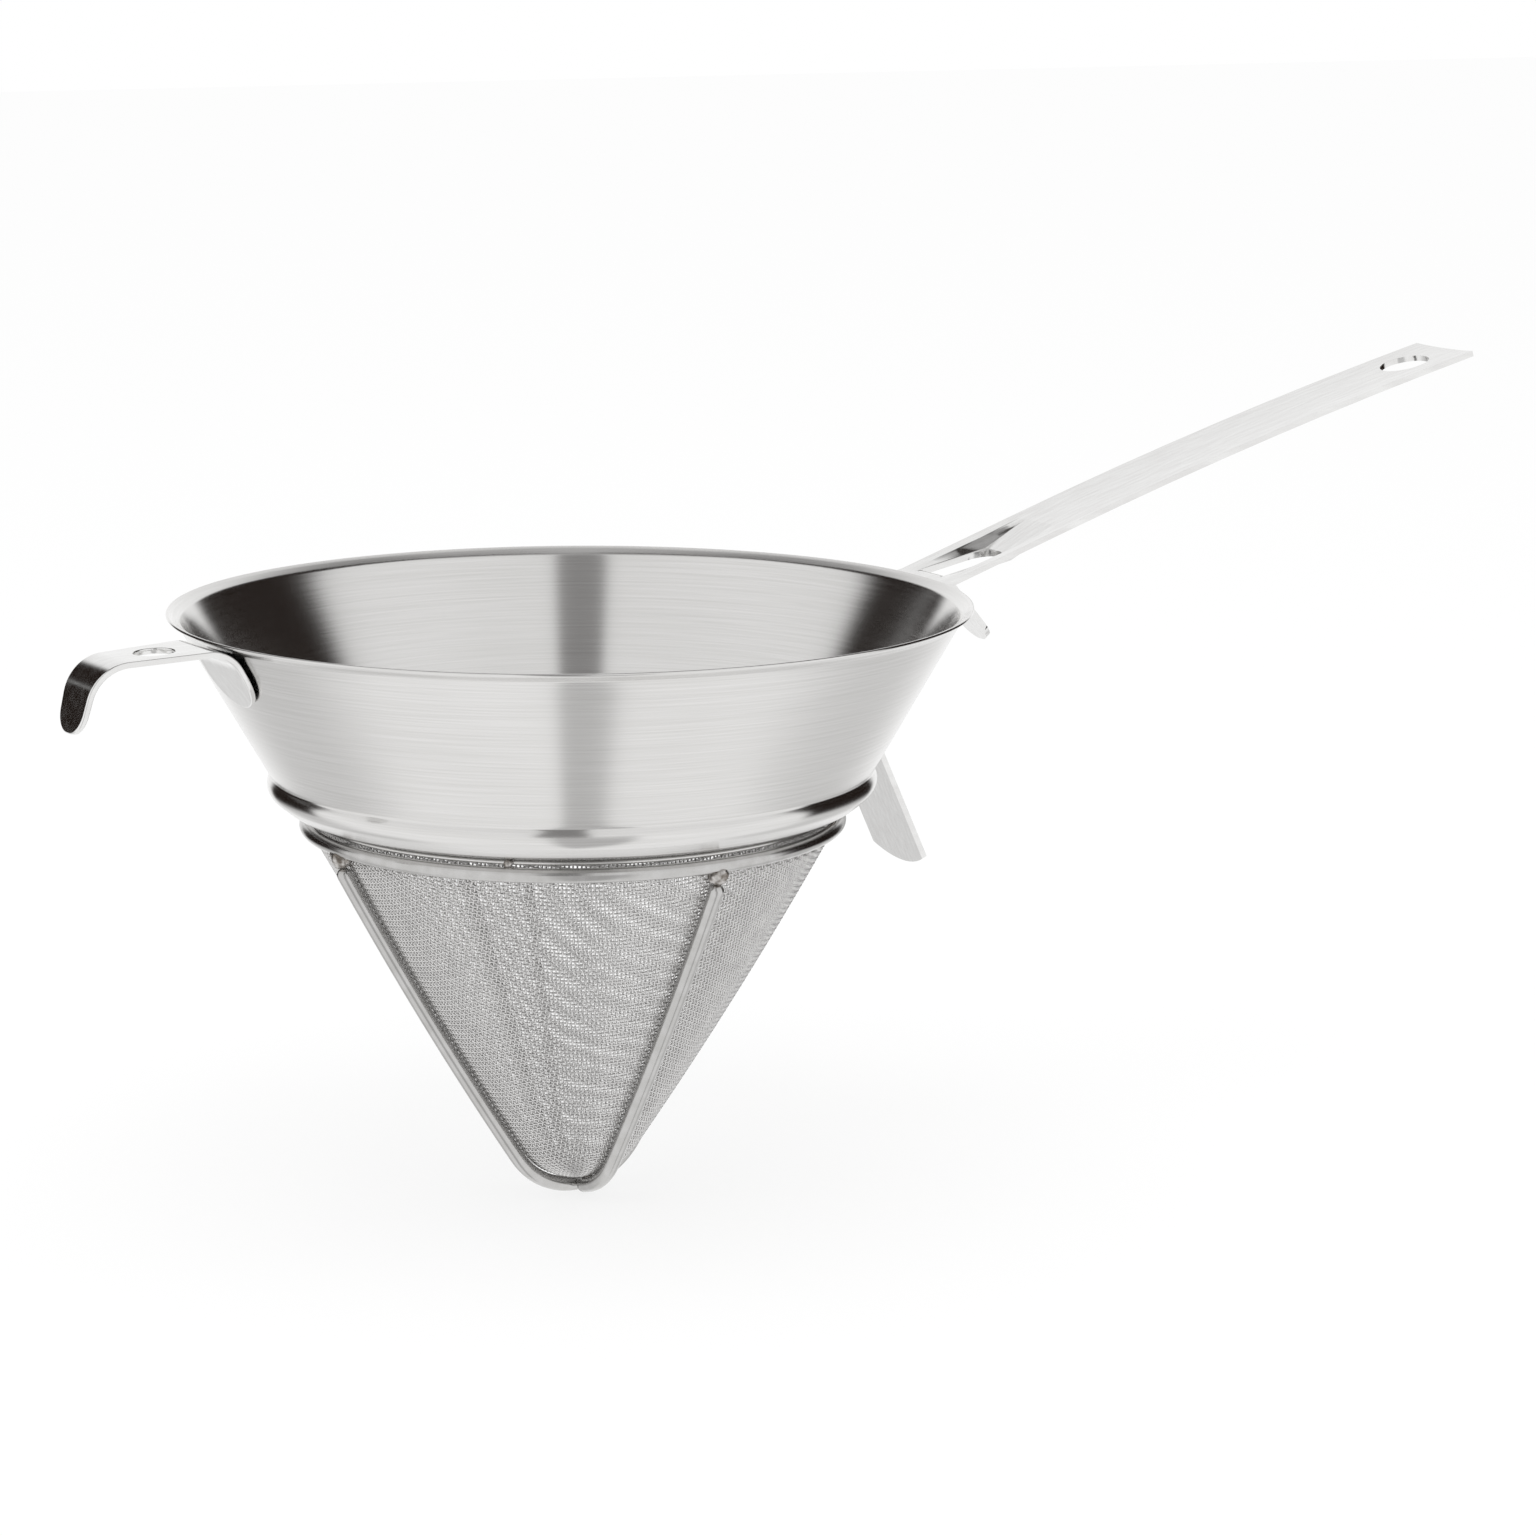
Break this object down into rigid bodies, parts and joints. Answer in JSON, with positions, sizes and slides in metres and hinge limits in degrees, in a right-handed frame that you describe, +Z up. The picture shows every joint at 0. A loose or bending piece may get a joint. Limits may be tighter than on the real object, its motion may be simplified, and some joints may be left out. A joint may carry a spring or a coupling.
{
  "type": "chinois strainer",
  "caption": "Conical fine-mesh strainer: spun steel bowl, woven mesh cone in a welded wire guard, slotted strip handle with a foot tongue, and a front hook for a pot's rim",
  "frame": {"origin": "middle of the mouth, level with the highest line of the flared lip, on the bowl's axis", "axes": "+Z up along the bowl's axis out of the mouth, +X along the handle, the front hook 4 degrees round from -X towards -Y"},
  "size_m": [0.4045, 0.2, 0.2021],
  "materials": {
    "bowl_sheet": "spun stainless steel sheet, brushed round the axis",
    "woven_mesh": "plain-woven fine stainless steel wire cloth",
    "guard_wire": "drawn stainless steel wire, satin",
    "handle_strip_steel": "pressed stainless steel strip, finely brushed, edges rounded",
    "weld_metal": "as-welded stainless steel, lightly cleaned"
  },
  "bodies": {
    "root": {"bowl_shell": "bowl_sheet", "mesh_cone": "woven_mesh", "mesh_clamp_band": "bowl_sheet", "guard_ring": "guard_wire", "guard_rod_hook_side": "guard_wire", "guard_rod_near_side": "guard_wire", "guard_rod_handle_side": "guard_wire", "guard_rod_far_side": "guard_wire", "guard_rod_welds": "weld_metal", "guard_tip_weld": "weld_metal", "guard_ring_tacks": "weld_metal", "handle_strip": "handle_strip_steel", "handle_spot_welds": "weld_metal", "front_hook": "handle_strip_steel", "hook_spot_welds": "weld_metal"}
  },
  "joints": []
}
